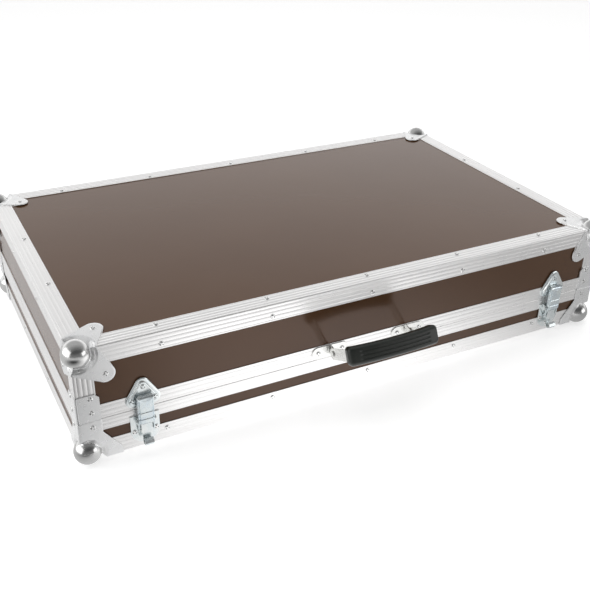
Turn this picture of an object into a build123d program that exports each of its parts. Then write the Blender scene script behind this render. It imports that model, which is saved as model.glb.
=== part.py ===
from build123d import *
import math
import os

# Hinged flight case for a keyboard: plywood panels held in aluminium extrusions, eight ball corners, two draw
# latches, a carrying handle on the lid and two hinges at the back.
# Millimetres. +X runs to the right along the front, +Y to the back, +Z up. The origin is on the floor, at the
# centre of the four ball corners that the case stands on.

# Case body, over the aluminium
body_len = 976.0
body_dep = 597.0
body_h = 193.0
split_h = 70.0
split_gap = 0.4

# Plywood and foam
panel_t = 7.0
foam_wall_t = 10.0
foam_bed_t = 15.0
foam_gap = 1.0

# Corner extrusion: two outer legs, two inner legs and a square core between two panel slots
edge_leg = 30.0
edge_wall = 1.6
edge_inner_wall = 1.4
edge_inner_leg = 8.0
edge_bevel = 1.2
groove_w = 1.6
groove_d = 0.5
groove_pitch = 10.0

# Closure extrusions: a tongue on the lid drops into a groove on the base
lid_closure_leg = 24.2
base_closure_leg = 21.1
closure_inner_leg = 14.0
closure_web = 2.4
tongue_w = 3.2
tongue_h = 3.0
tongue_taper = 0.5
groove_side_gap = 1.0
groove_end_gap = 0.6
groove_floor = 1.6

# Ball corners
ball_r = 21.0
ball_inset = 11.0
ball_wall = 1.8
plate_t = 1.8
lobe_at = 47.0
lobe_r = 14.0
collar_r = 31.0
leg_w = 34.0
leg_drop = 23.0
leg_knee = (47.0, 29.0)
leg_toe = (60.0, 12.0)
leg_foot = 61.5
brace_gap = 17.0
brace_bevel = 6.0

# Sides of a rounding that is drawn as a polygon, small ones and larger ones
few_sides = 8
some_sides = 16

# Draw latches, heights above the underside of the body
latch_inset = 98.0
latch_plate_t = 1.5
latch_plate_w = 45.0
latch_plate_low = 8.0
latch_plate_top = 58.0
latch_pivot = (6.0, 52.0)
latch_pivot_r = 2.0
latch_ear_gap = 0.5
latch_ear_t = 1.5
latch_ear_r = 4.5
latch_ear_low = 44.0
latch_head_r = 3.4
latch_head_t = 1.0
claw_pin = (5.4, 34.0)
claw_pin_r = 1.6
claw_lug_r = 3.2
claw_w = 25.0
claw_t = 1.4
claw_out = 14.0
claw_top = 97.6
claw_low = 50.0
claw_bend = 5.0
claw_lip = 3.5
claw_tip_w = 19.0
claw_flange_in = 8.5
claw_flange_low = 44.0
claw_bar = (22.0, 2.2)
claw_bar_heights = (70.0, 87.0)
claw_bar_out = 0.8
lever_w = 17.0
lever_t = 1.5
lever_lug_r = 4.2
web_low = 30.0
web_top = 46.0
tongue_out = 8.0
roll_h = 17.0
roll_r = 6.0
roll_w = 14.0
keeper_h = 5.0
keeper_dish = 0.7
keeper_rim = 2.4
keeper_top = 123.0
keeper_low = 74.0
keeper_half = 27.0
keeper_apex_r = 11.0
keeper_foot_r = 12.0
running_gap = 0.05
side_gap = 0.3

# Carrying handle
handle_half = 75.0
handle_h = 82.0
handle_pivot_out = 12.5
handle_pivot_r = 3.0
handle_tilt = 27.0
bracket_len = 66.0
bracket_w = 22.0
bracket_t = 1.5
bracket_ear_r = 7.0
bracket_ear_foot = 8.5
handle_head_r = 5.2
handle_head_t = 1.7
arm_w = 19.0
arm_t = 2.2
grip_reach = 60.0
grip_bow = 7.7
grip_over = 3.7
grip_w = 32.0
grip_t = 22.0
grip_bevel = 6.0
grip_groove_d = 1.2
grip_groove_w = 3.0
grip_groove_pitch = 6.6
grip_groove_end = 19.5

# Back hinges
hinge_at = (-300.0, 300.0)
hinge_len = 60.0
hinge_pin_r = 2.5
hinge_knuckle_r = 4.6
hinge_leaf_t = 1.8
hinge_out = 5.5
hinge_end_gap = 0.4

# Worked out from the sizes above
x_out = body_len / 2
y_out = body_dep / 2
z_low = ball_r - ball_inset
z_high = z_low + body_h
z_split = z_low + split_h
slot_back = edge_wall + panel_t
panel_in = slot_back + edge_inner_wall
base_web = tongue_h + groove_end_gap + groove_floor
brace_h = body_h - split_h - lobe_at - lobe_r - brace_gap
latch_ear_at = claw_w / 2 + latch_ear_gap
grip_half = handle_half + grip_over

UP = Vector(0, 0, 1)
DOWN = Vector(0, 0, -1)
SIDES = {
    "front": Vector(0, -1, 0),
    "back": Vector(0, 1, 0),
    "left": Vector(-1, 0, 0),
    "right": Vector(1, 0, 0),
}


def half_run(side):
    """Half the case's length along the given side."""
    return x_out if side in ("front", "back") else y_out


def side_point(side, height):
    """Middle of a side's outer face at a height above the floor."""
    normal = SIDES[side]
    reach = y_out if side in ("front", "back") else x_out
    return normal * reach + UP * height


def face_plane(side, along=0.0, height=0.0):
    """Plane on a side's outer face: local X to the right as seen from outside, local Y up."""
    normal = SIDES[side]
    right = UP.cross(normal)
    return Plane(origin=side_point(side, height) + right * along, x_dir=right, z_dir=normal)


def cut_plane(along=0.0):
    """Plane across the front face: local X outward, local Y up from the underside of the body."""
    origin = Vector(along, -y_out, z_low)
    return Plane(origin=origin, x_dir=Vector(0, -1, 0), z_dir=Vector(-1, 0, 0))


def outline(points):
    """Flat face inside a closed run of straight lines."""
    return make_face(Polyline(*points, close=True))


def hull_of(*shapes):
    """Flat face stretched round circles and other faces."""
    edges = [edge for shape in shapes for edge in shape.edges()]
    return make_hull(edges)


def disc(at, radius):
    return Pos(at[0], at[1]) * Circle(radius)


def one_solid(shape):
    """The single solid of a result, whatever it was wrapped in."""
    solids = shape.solids()
    if len(solids) != 1:
        raise ValueError(f"expected one solid, got {len(solids)}")
    return solids[0]


def write(name, shapes):
    """Writes a sub-part's solids to its own file."""
    solids = [solid for shape in shapes for solid in shape.solids()]
    export_step(Compound(children=solids), f"parts/{name}.step")


# Extrusions

def groove_points(start, stop):
    """Outer face of a leg, drawn from start to stop, with a V groove at every pitch."""
    length = abs(stop - start)
    sign = 1 if stop > start else -1
    count = int((length - groove_w) // groove_pitch)
    offset = (length - (count - 1) * groove_pitch) / 2
    points = []
    for index in range(count):
        middle = start + sign * (offset + index * groove_pitch)
        points.append((middle - sign * groove_w / 2, 0.0))
        points.append((middle, groove_d))
        points.append((middle + sign * groove_w / 2, 0.0))
    return points


def edge_section():
    """Section of the corner extrusion, both coordinates measured inward from the outer faces."""
    inner = slot_back + edge_inner_wall
    tip = inner + edge_inner_leg
    along = groove_points(edge_bevel, edge_leg)
    down = [(depth, run) for run, depth in groove_points(edge_leg, edge_bevel)]
    points = [(0, edge_bevel), (edge_bevel, 0)] + along
    points += [(edge_leg, 0), (edge_leg, edge_wall), (inner, edge_wall)]
    points += [(inner, slot_back), (tip, slot_back), (tip, inner), (inner, inner)]
    points += [(inner, tip), (slot_back, tip), (slot_back, inner), (edge_wall, inner)]
    points += [(edge_wall, edge_leg), (0, edge_leg)] + down
    core_mid = (edge_wall + slot_back) / 2
    return outline(points) - Pos(core_mid, core_mid) * Rectangle(panel_t, panel_t)


def closure_outer(leg):
    """Outer face of a closure leg as points, from the split line to the leg's end."""
    return [(depth, run) for run, depth in groove_points(0, leg)]


def lid_closure_section():
    """Channel over the lid wall's edge, with a tapered tongue below the split line."""
    inner = slot_back + edge_inner_wall
    middle = edge_wall + panel_t / 2
    points = [(0, 0)] + closure_outer(lid_closure_leg)
    points += [(0, lid_closure_leg), (edge_wall, lid_closure_leg), (edge_wall, closure_web)]
    points += [(slot_back, closure_web), (slot_back, closure_inner_leg), (inner, closure_inner_leg)]
    points += [(inner, 0), (middle + tongue_w / 2, 0)]
    points += [(middle + tongue_w / 2 - tongue_taper, -tongue_h)]
    points += [(middle - tongue_w / 2 + tongue_taper, -tongue_h), (middle - tongue_w / 2, 0)]
    return outline(points)


def base_closure_section():
    """Channel over the base wall's edge, with a groove that takes the lid's tongue."""
    inner = slot_back + edge_inner_wall
    middle = edge_wall + panel_t / 2
    half = tongue_w / 2 + groove_side_gap
    depth = tongue_h + groove_end_gap
    points = [(0, 0)] + closure_outer(base_closure_leg)
    points += [(0, base_closure_leg), (edge_wall, base_closure_leg), (edge_wall, base_web)]
    points += [(slot_back, base_web), (slot_back, closure_inner_leg), (inner, closure_inner_leg)]
    points += [(inner, 0), (middle + half, 0), (middle + half - tongue_taper, depth)]
    points += [(middle - half + tongue_taper, depth), (middle - half, 0)]
    return outline(points)


def rail(section, middle, inward, away, length):
    """Extrudes a section along one edge of the case, centred on the given point of that edge."""
    run = inward.cross(away)
    start = Plane(origin=middle - run * (length / 2), x_dir=inward, z_dir=run)
    return extrude(start * section, amount=length)


def mitre_block(side):
    """Everything on one side of the case, cut off at 45 degrees at both corners."""
    half = half_run(side)
    width = edge_leg
    normal = SIDES[side]
    right = UP.cross(normal)
    floor = Plane(origin=side_point(side, 0), x_dir=right, z_dir=UP)
    shape = outline([(-half, 0), (half, 0), (half - width, width), (-half + width, width)])
    return extrude(floor * shape, amount=z_high)


def edge_rails(height, away):
    """The four corner extrusions round the top or the bottom, stopping short of the ball corners."""
    section = edge_section()
    for side, normal in SIDES.items():
        length = 2 * half_run(side) - 2 * edge_leg
        yield side, rail(section, side_point(side, height), -normal, away, length)


def closure_rails(section, height, away):
    """The four mitred closure extrusions of the lid or the base."""
    for side, normal in SIDES.items():
        length = 2 * half_run(side)
        whole = rail(section, side_point(side, height), -normal, away, length)
        yield side, whole & mitre_block(side)


def corner_posts(low, high):
    """Upright corner extrusions between the closure and the edge extrusions."""
    section = edge_section()
    for sx in (-1, 1):
        for sy in (-1, 1):
            middle = Vector(sx * x_out, sy * y_out, (low + high) / 2)
            inward = Vector(-sx, 0, 0)
            away = Vector(0, -sy, 0)
            yield rail(section, middle, inward, away, high - low)


# Panels and lining

def wall_panel(side, low, high):
    """Plywood wall in the slots of the extrusions round it."""
    width = 2 * half_run(side) - 2 * panel_in
    plane = face_plane(side, 0, (low + high) / 2)
    sheet = extrude(plane * Rectangle(width, high - low), amount=-slot_back)
    return sheet - extrude(plane * Rectangle(width, high - low), amount=-edge_wall)


def flat_panel(outer, down):
    """Top or bottom sheet, one wall thickness in from the outer height."""
    width = body_len - 2 * panel_in
    depth = body_dep - 2 * panel_in
    middle = outer + down * (edge_wall + panel_t / 2)
    return Pos(0, 0, middle) * Box(width, depth, panel_t)


def foam_set(bed_outer, open_edge):
    """A foam bed and the four wall pads round it; the pads reach from the sheet to the open edge."""
    toward = 1 if open_edge > bed_outer else -1
    near = bed_outer + toward * panel_in
    pad_mid = (near + open_edge) / 2
    pad_h = abs(open_edge - near)
    long_run = body_len - 2 * panel_in
    short_run = body_dep - 2 * panel_in - 2 * foam_wall_t
    at_y = y_out - panel_in - foam_wall_t / 2
    at_x = x_out - panel_in - foam_wall_t / 2
    bed = Box(long_run - 2 * foam_wall_t, short_run, foam_bed_t)
    pads = [Pos(0, 0, near + toward * foam_bed_t / 2) * bed]
    for sign in (-1, 1):
        pads.append(Pos(0, sign * at_y, pad_mid) * Box(long_run, foam_wall_t, pad_h))
        pads.append(Pos(sign * at_x, 0, pad_mid) * Box(foam_wall_t, short_run, pad_h))
    return pads


# Ball corners, drawn at a corner of the body with all three coordinates measured inward

def lobe_face():
    """Collar round the ball with a rounded tongue of sheet that reaches over the panel."""
    collar = Pos(ball_inset, ball_inset) * RegularPolygon(collar_r, few_sides)
    whole = hull_of(collar, Pos(lobe_at, lobe_at) * RegularPolygon(lobe_r, some_sides))
    return whole & box_face((-plate_t, -plate_t), (body_h, body_h))


def leg_face():
    """Leg of a lower corner: straight up to the split line, sloping out to the foot of the case."""
    top = split_h - split_gap
    points = [(-plate_t, top), (leg_w, top), (leg_w, top - leg_drop), leg_knee, leg_toe]
    return outline(points + [(leg_foot, 0), (-plate_t, 0)])


def brace_face():
    """Leg of the lid's angle plates, its height measured from the split."""
    low = split_gap / 2
    face = outline([(-plate_t, low), (leg_w, low), (leg_w, brace_h), (-plate_t, brace_h)])
    corner = face.vertices().sort_by_distance((leg_w, brace_h, 0))[0]
    return chamfer(corner, brace_bevel)


def angle_plate(face):
    """Sheet folded round an upright edge: the face on the front and its mirror image on the side."""
    front = extrude(Plane(origin=(0, 0, 0), x_dir=(1, 0, 0), z_dir=(0, -1, 0)) * face, amount=plate_t)
    return front + mirror(front, about=Plane(origin=(0, 0, 0), z_dir=(1, -1, 0)))


def ball(radius, sides):
    """Ball from pole to pole as a stack of many-sided rings, which keeps its facets few."""
    rings = [Vertex(0, 0, -radius)]
    for step in range(1, sides // 2):
        angle = math.pi * (2 * step / sides - 0.5)
        ring = RegularPolygon(radius * math.cos(angle), sides)
        rings.append(Pos(0, 0, radius * math.sin(angle)) * ring)
    return loft(rings + [Vertex(0, 0, radius)], ruled=True)


def ball_corner(with_legs):
    """Pressed ball corner: a hollow ball with a lobe on the flat and a lobe or leg on each wall."""
    centre = Pos(ball_inset, ball_inset, ball_inset)
    cap = Plane(origin=(0, 0, 0), x_dir=(0, 1, 0), z_dir=(0, 0, -1))
    shape = centre * ball(ball_r, some_sides) + extrude(cap * lobe_face(), amount=plate_t)
    shape += angle_plate(leg_face() if with_legs else lobe_face())
    body = Box(body_h, body_h, body_h, align=(Align.MIN, Align.MIN, Align.MIN))
    return one_solid(shape - body - centre * ball(ball_r - ball_wall, few_sides))


def at_corners(shape, height, upside_down):
    """Copies a local corner piece to the four corners of the case."""
    if upside_down:
        shape = mirror(shape, about=Plane.XY)
    for sx in (-1, 1):
        for sy in (-1, 1):
            copy = mirror(shape, about=Plane.YZ) if sx > 0 else shape
            copy = mirror(copy, about=Plane.XZ) if sy > 0 else copy
            yield Pos(sx * x_out, sy * y_out, height) * copy


# Latches, drawn in the front's cut plane: first distance outward, then height above the underside

def latch_centres():
    return {"left": -(x_out - latch_inset), "right": x_out - latch_inset}


def knob(at, radius):
    """Rounding of a small ear or rivet head, with few sides."""
    return Pos(at[0], at[1]) * RegularPolygon(radius, few_sides)


def box_face(low, high):
    """Rectangle between two corners."""
    return outline([low, (high[0], low[1]), high, (low[0], high[1])])


def across(face, x_from, x_to):
    """Extrudes a face of the cut plane from one x to another."""
    return extrude(cut_plane(max(x_from, x_to)) * face, amount=abs(x_to - x_from))


def keeper(x):
    """Raised dish on the lid that the claw draws down."""
    plane = face_plane("front", x, z_low)
    foot_x = keeper_half - keeper_foot_r
    foot_y = keeper_low + keeper_foot_r
    apex = Pos(0, keeper_top - keeper_apex_r) * RegularPolygon(keeper_apex_r, some_sides)
    foot = RegularPolygon(keeper_foot_r, some_sides)
    plan = hull_of(apex, Pos(-foot_x, foot_y) * foot, Pos(foot_x, foot_y) * foot)
    dish = plane.offset(keeper_h - keeper_dish) * offset(plan, -keeper_rim)
    return one_solid(extrude(plane * plan, amount=keeper_h) - extrude(dish, amount=keeper_dish))


def latch_plate(x):
    """Rounded base plate with two ears and the lever's pivot riveted in them."""
    half = latch_plate_w / 2
    foot = disc((0, latch_plate_low + half), half)
    top = Pos(0, latch_plate_top) * Rectangle(latch_plate_w, latch_plate_t, align=(Align.CENTER, Align.MAX))
    body = extrude(face_plane("front", x, z_low) * hull_of(foot, top), amount=latch_plate_t)
    seat = box_face((0, latch_ear_low), (latch_plate_t, latch_plate_top))
    ear = hull_of(knob(latch_pivot, latch_ear_r), seat)
    ear_out = latch_ear_at + latch_ear_t
    body += across(disc(latch_pivot, latch_pivot_r), x - latch_ear_at, x + latch_ear_at)
    for sign in (-1, 1):
        body += across(ear, x + sign * latch_ear_at, x + sign * ear_out)
        head = knob(latch_pivot, latch_head_r)
        body += across(head, x + sign * ear_out, x + sign * (ear_out + latch_head_t))
    return one_solid(body)


def lever(x):
    """Narrow channel with two cheeks, a rolled finger hold and a stud for the claw on each cheek."""
    half = lever_w / 2
    web = box_face((tongue_out, web_low), (tongue_out + lever_t, web_top))
    cheek = hull_of(knob(latch_pivot, lever_lug_r), knob(claw_pin, claw_lug_r), web)
    centre = (tongue_out + roll_r, roll_h)
    ring = knob(centre, roll_r) - knob(centre, roll_r - lever_t)
    opening = box_face((centre[0] - 2 * roll_r, centre[1]), (centre[0], centre[1] + 2 * roll_r))
    strip = box_face((tongue_out, roll_h), (tongue_out + lever_t, web_low))
    body = across(web, x - half, x + half)
    body += across(strip + (ring - opening), x - roll_w / 2, x + roll_w / 2)
    for sign in (-1, 1):
        body += across(cheek, x + sign * (half - lever_t), x + sign * half)
        body += across(disc(claw_pin, claw_pin_r), x + sign * half, x + sign * claw_w / 2)
    return one_solid(body - across(disc(latch_pivot, latch_pivot_r + running_gap), x - half, x + half))


def claw(x):
    """Bent claw: front plate with two ribs, a lip turned toward the keeper and two flanges to the pin."""
    half = claw_w / 2
    inner = claw_out - claw_t
    tip = keeper_h + side_gap
    shoulder = claw_top - claw_bend
    profile = outline([
        (inner, claw_low), (claw_out, claw_low), (claw_out, shoulder), (claw_out - claw_bend, claw_top),
        (tip, claw_top), (tip, claw_top - claw_lip), (tip + claw_t, claw_top - claw_lip),
        (tip + claw_t, claw_top - claw_t), (inner - claw_bend / 2, claw_top - claw_t), (inner, shoulder),
    ])
    plan = hull_of(Pos(0, -claw_out) * Rectangle(claw_w, claw_bend), disc((0, -inner), claw_tip_w / 2))
    floor = Plane(origin=(x, -y_out, z_low), x_dir=(1, 0, 0), z_dir=(0, 0, 1))
    body = across(profile, x - half, x + half) & extrude(floor * plan, amount=body_h)
    band = outline([
        (claw_flange_in, claw_flange_low), (inner, claw_low), (inner, shoulder), (claw_flange_in, shoulder),
    ])
    leg = hull_of(knob(claw_pin, claw_lug_r), outline([
        (claw_flange_in, claw_flange_low), (inner, claw_low), (claw_flange_in, claw_low),
    ]))
    for sign in (-1, 1):
        body += across(band + leg, x + sign * (half - claw_t), x + sign * half)
    for height in claw_bar_heights:
        bar = face_plane("front", x, z_low + height).offset(inner) * Rectangle(*claw_bar)
        body += extrude(bar, amount=claw_t + claw_bar_out)
    return one_solid(body - across(disc(claw_pin, claw_pin_r + running_gap), x - half, x + half))


# Carrying handle, drawn flat and tilted about its pivots

def handle_plane():
    """Local X along the front, local Y out along the arms, local Z across the grip."""
    tilt = math.radians(handle_tilt)
    origin = Vector(0, -y_out - handle_pivot_out, z_low + handle_h)
    z_dir = Vector(0, -math.sin(tilt), -math.cos(tilt))
    return Plane(origin=origin, x_dir=(1, 0, 0), z_dir=z_dir)


def bowed_band(half, inner, outer, bow):
    """Band between two parallel bowed lines."""
    near = ThreePointArc((-half, inner), (0, inner + bow), (half, inner))
    far = ThreePointArc((half, outer), (0, outer + bow), (-half, outer))
    ends = Line((half, inner), (half, outer)) + Line((-half, outer), (-half, inner))
    return make_face(near + far + ends)


def handle_strap():
    """Steel strap bent into a U, round at its ends, with a hole for each pivot."""
    half = handle_half + arm_t / 2
    near = grip_reach - arm_t / 2
    arm = Rectangle(arm_t, near + arm_w / 2, align=(Align.CENTER, Align.MIN))
    flat = bowed_band(half, near, near + arm_t, grip_bow)
    for sign in (-1, 1):
        flat += Pos(sign * handle_half, -arm_w / 2 + arm_t / 2) * arm
    body = extrude(Plane.XY * flat, amount=arm_w / 2, both=True)
    run = Rectangle(grip_reach + grip_bow + arm_w, arm_w, align=(Align.MIN, Align.CENTER))
    side = Plane(origin=(-half, 0, 0), x_dir=(0, 1, 0), z_dir=(1, 0, 0))
    body &= extrude(side * (Circle(arm_w / 2) + run), amount=2 * half)
    body -= extrude(side * Circle(handle_pivot_r + running_gap), amount=2 * half)
    return one_solid(handle_plane().location * body)


def bowed_bar(profile, half_run):
    """Turns a section about the centre of the grip's bow, as far as half_run to each side."""
    radius = (grip_half ** 2 + grip_bow ** 2) / (2 * grip_bow)
    centre = Vector(0, grip_reach + grip_bow - radius, 0)
    section = Plane(origin=centre, x_dir=(0, 1, 0), z_dir=(1, 0, 0)) * Pos(radius, 0) * profile
    half_angle = math.degrees(math.asin(half_run / radius))
    axis = Axis(centre, (0, 0, 1))
    return revolve(section, axis, 2 * half_angle).rotate(axis, -half_angle)


def handle_grip(strap):
    """Bowed plastic grip moulded round the strap, with three grooves along its outer face."""
    section = Rectangle(grip_t, grip_w)
    body = bowed_bar(chamfer(section.vertices(), grip_bevel), grip_half)
    for row in (-1, 0, 1):
        groove = Pos(grip_t / 2, row * grip_groove_pitch) * Rectangle(2 * grip_groove_d, grip_groove_w)
        body -= bowed_bar(groove, grip_half - grip_groove_end)
    return one_solid(handle_plane().location * body - strap)


def handle_brackets():
    """Two riveted plates, each with an ear on the arm's inner side and a pivot through both."""
    pivot = (handle_pivot_out, handle_h)
    foot = (bracket_len - bracket_w) / 2
    seat = box_face((0, handle_h - bracket_ear_foot), (bracket_t, handle_h + bracket_ear_foot))
    ear = hull_of(knob(pivot, bracket_ear_r), seat)
    head = knob(pivot, handle_head_r)
    ear_out = handle_half - arm_t / 2 - side_gap
    ear_in = ear_out - plate_t
    arm_out = handle_half + arm_t / 2 + side_gap
    for sign in (-1, 1):
        plane = face_plane("front", sign * handle_half, z_low + handle_h)
        plan = hull_of(disc((-foot, 0), bracket_w / 2), disc((foot, 0), bracket_w / 2))
        body = extrude(plane * plan, amount=bracket_t)
        body += across(ear, sign * ear_in, sign * ear_out)
        body += across(disc(pivot, handle_pivot_r), sign * ear_out, sign * arm_out)
        body += across(head, sign * (ear_in - handle_head_t), sign * ear_in)
        body += across(head, sign * arm_out, sign * (arm_out + handle_head_t))
        yield one_solid(body)


# Back hinges, drawn across the back face: first distance outward, then height above the split

def hinge_part(face, x_from, x_to):
    """Extrudes a face of a back hinge from one x to another."""
    plane = Plane(origin=(x_from, y_out, z_split), x_dir=(0, 1, 0), z_dir=(1, 0, 0))
    return extrude(plane * face, amount=x_to - x_from)


def hinge_leaf(x, upward, spans, reach):
    """Leaf on the back with a rolled knuckle on each given span of the hinge's length."""
    sign = 1 if upward else -1
    edge = sign * (hinge_knuckle_r + hinge_end_gap)
    leaf = outline([(0, edge), (hinge_leaf_t, edge), (hinge_leaf_t, sign * reach), (0, sign * reach)])
    body = hinge_part(leaf, x - hinge_len / 2, x + hinge_len / 2)
    root = box_face((0, edge), (hinge_leaf_t, edge + sign * hinge_leaf_t))
    knuckle = hull_of(knob((hinge_out, 0), hinge_knuckle_r), root)
    for low, high in spans:
        body += hinge_part(knuckle, x + low, x + high)
    return body


def hinge_pair(x):
    """The base's leaf with the pin fixed in its outer knuckles, and the lid's leaf on its bore."""
    half = hinge_len / 2
    middle = half / 3 - hinge_end_gap / 2
    outer = half / 3 + hinge_end_gap / 2
    pin = hinge_part(disc((hinge_out, 0), hinge_pin_r), x - half, x + half)
    bore = hinge_part(disc((hinge_out, 0), hinge_pin_r + running_gap), x - half, x + half)
    base = hinge_leaf(x, False, [(-half, -outer), (outer, half)], base_closure_leg)
    lid = hinge_leaf(x, True, [(-middle, middle)], lid_closure_leg)
    return one_solid(base + pin), one_solid(lid - bore)


# Assembly

def write_base():
    top = z_split - split_gap / 2
    write("base_bottom_panel", [flat_panel(z_low, 1)])
    for side in SIDES:
        write(f"base_wall_{side}", [wall_panel(side, z_low + panel_in, top - base_web)])
    for side, piece in edge_rails(z_low, UP):
        write(f"base_edge_{side}", [piece])
    for side, piece in closure_rails(base_closure_section(), top, DOWN):
        write(f"base_closure_{side}", [piece])
    write("base_corner_posts", corner_posts(z_low + edge_leg, top - base_closure_leg))
    write("base_ball_corners", at_corners(ball_corner(True), z_low, False))
    write("base_foam_lining", foam_set(z_low, top - foam_gap))


def write_lid():
    low = z_split + split_gap / 2
    write("lid_top_panel", [flat_panel(z_high, -1)])
    for side in SIDES:
        write(f"lid_wall_{side}", [wall_panel(side, low + closure_web, z_high - panel_in)])
    for side, piece in edge_rails(z_high, DOWN):
        write(f"lid_edge_{side}", [piece])
    for side, piece in closure_rails(lid_closure_section(), low, UP):
        write(f"lid_closure_{side}", [piece])
    write("lid_corner_posts", corner_posts(low + lid_closure_leg, z_high - edge_leg))
    write("lid_ball_corners", at_corners(ball_corner(False), z_high, True))
    write("lid_corner_braces", at_corners(angle_plate(brace_face()), z_split, False))
    write("lid_foam_lining", foam_set(z_high, low + foam_gap))


def write_hinges():
    pairs = [hinge_pair(x) for x in hinge_at]
    write("hinge_leaves_base", [base for base, lid in pairs])
    write("hinge_leaves_lid", [lid for base, lid in pairs])


def write_latches():
    centres = latch_centres()
    write("latch_keepers", [keeper(x) for x in centres.values()])
    write("latch_base_plates", [latch_plate(x) for x in centres.values()])
    for name, x in centres.items():
        write(f"latch_lever_{name}", [lever(x)])
        write(f"latch_claw_{name}", [claw(x)])


def write_handle():
    strap = handle_strap()
    write("handle_strap", [strap])
    write("handle_grip", [handle_grip(strap)])
    write("handle_brackets", handle_brackets())


os.makedirs("parts", exist_ok=True)
write_base()
write_lid()
write_hinges()
write_latches()
write_handle()
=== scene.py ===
import bpy
import bmesh
import math
from mathutils import Matrix, Vector
from mathutils.geometry import delaunay_2d_cdt

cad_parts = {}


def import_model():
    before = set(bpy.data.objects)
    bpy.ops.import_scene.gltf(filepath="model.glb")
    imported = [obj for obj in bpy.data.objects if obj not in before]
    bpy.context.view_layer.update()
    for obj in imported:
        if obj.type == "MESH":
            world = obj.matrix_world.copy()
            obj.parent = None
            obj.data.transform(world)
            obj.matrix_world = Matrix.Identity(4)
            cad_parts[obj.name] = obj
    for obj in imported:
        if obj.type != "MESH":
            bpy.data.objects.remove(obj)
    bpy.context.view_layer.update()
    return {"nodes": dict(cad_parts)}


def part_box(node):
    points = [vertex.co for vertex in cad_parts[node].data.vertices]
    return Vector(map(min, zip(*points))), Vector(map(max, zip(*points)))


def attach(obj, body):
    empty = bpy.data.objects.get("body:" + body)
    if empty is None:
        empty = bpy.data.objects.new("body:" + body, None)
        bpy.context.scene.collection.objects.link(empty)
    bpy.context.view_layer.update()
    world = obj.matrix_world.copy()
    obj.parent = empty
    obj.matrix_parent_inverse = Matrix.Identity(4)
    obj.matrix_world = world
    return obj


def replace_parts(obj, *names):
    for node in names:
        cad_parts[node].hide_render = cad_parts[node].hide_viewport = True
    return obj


# Looks of a keyboard flight case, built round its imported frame; in millimetres until a mesh is made.

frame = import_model()

MM = 0.001

# Sizes read from the frame


def node_box(name):
    low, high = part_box(name)
    return low / MM, high / MM


SPLIT_GAP = 0.4

edge_low, edge_high = node_box("lid_edge_front")
x_out = node_box("lid_edge_right")[1].x
y_out = -edge_low.y
z_high = edge_high.z
z_low = node_box("base_edge_front")[0].z
base_closure_low, base_closure_high = node_box("base_closure_left")
z_base_top = base_closure_high.z
base_leg = z_base_top - base_closure_low.z
z_lid_low = z_base_top + SPLIT_GAP
lid_leg = node_box("lid_closure_left")[1].z - z_lid_low
z_split = (z_base_top + z_lid_low) / 2
ball_proud = z_low - node_box("base_ball_corners")[0].z

# Sizes of the looks. Extrusions: leg, wall, and from the face to both sides of the slot's inner wall
LEG = 30.0
WALL = 1.6
SLOT = 8.6
INNER = 10.0
RAIL_END = 35.0
# Pressed corners: ball, stand-off and thickness of the sheet, power of a fold, collar, lobe
BALL_R = 21.0
BALL_IN = BALL_R - ball_proud
SHEET = 1.8
THICK = 1.5
FOLD = 14
FILLET = 1.6
RIM_R = 31.0
RIM_END = math.sqrt(RIM_R ** 2 - (BALL_IN + SHEET) ** 2)
DIP_PANEL = 10.0
DIP_EDGE = 7.2
LOBE_AT = 47.0
LOBE_R = 14.0
# Panels, and the arc cut out of them round a ball
PANEL_T = 7.0
NOTCH_R = 26.0
# Rivets
RIVET_R = 4.2
RIVET_H = 1.5
# Places along the front and the back, and the handle's height over the underside
LATCH_X = 390.0
HINGE_X = 300.0
HANDLE_X = 75.0
HANDLE_H = 82.0
# Points closer than the first are joined, edges shorter than the second dissolved
WELD = 0.002
SLIVER = 0.0005
# Corners of a rectangle, counter-clockwise, with the angle in degrees at which each one's arc starts
ROUND_CORNERS = ((1, -1, -90), (1, 1, 0), (-1, 1, 90), (-1, -1, 180))


# Mesh helpers


def mesh_object(name, verts, faces, materials, body, smooth, indices, uvs):
    """Object from points in millimetres, smooth-shaded up to an angle, riding on a body."""
    mesh = bpy.data.meshes.new(name)
    mesh.from_pydata([Vector(v) * MM for v in verts], [], faces)
    for material in materials:
        mesh.materials.append(material)
    mesh.polygons.foreach_set("material_index", indices)
    if uvs:
        layer = mesh.uv_layers.new(name="run")
        for loop in mesh.loops:
            layer.data[loop.index].uv = uvs[loop.vertex_index]
    bm = bmesh.new()
    bm.from_mesh(mesh)
    bmesh.ops.remove_doubles(bm, verts=bm.verts, dist=WELD * MM)
    bmesh.ops.dissolve_degenerate(bm, edges=bm.edges, dist=SLIVER * MM)
    bmesh.ops.recalc_face_normals(bm, faces=bm.faces)
    bm.to_mesh(mesh)
    bm.free()
    mesh.shade_smooth()
    mesh.set_sharp_from_angle(angle=math.radians(smooth))
    obj = bpy.data.objects.new(name, mesh)
    bpy.context.scene.collection.objects.link(obj)
    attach(obj, body)
    return obj


class Build:
    """Gathers several closed shells into one mesh."""

    def __init__(self):
        self.verts, self.faces, self.indices, self.uvs = [], [], [], []

    def add(self, verts, faces, place=None, material=None, uvs=None):
        start = len(self.verts)
        self.verts += [place(v) if place else Vector(v) for v in verts]
        self.faces += [tuple(start + i for i in face) for face in faces]
        self.indices += material or [0] * len(faces)
        self.uvs += uvs or [(0.0, 0.0)] * len(verts)

    def make(self, name, materials, body, smooth, with_uvs=False):
        uvs = self.uvs if with_uvs else None
        return mesh_object(name, self.verts, self.faces, materials, body, smooth, self.indices, uvs)


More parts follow.
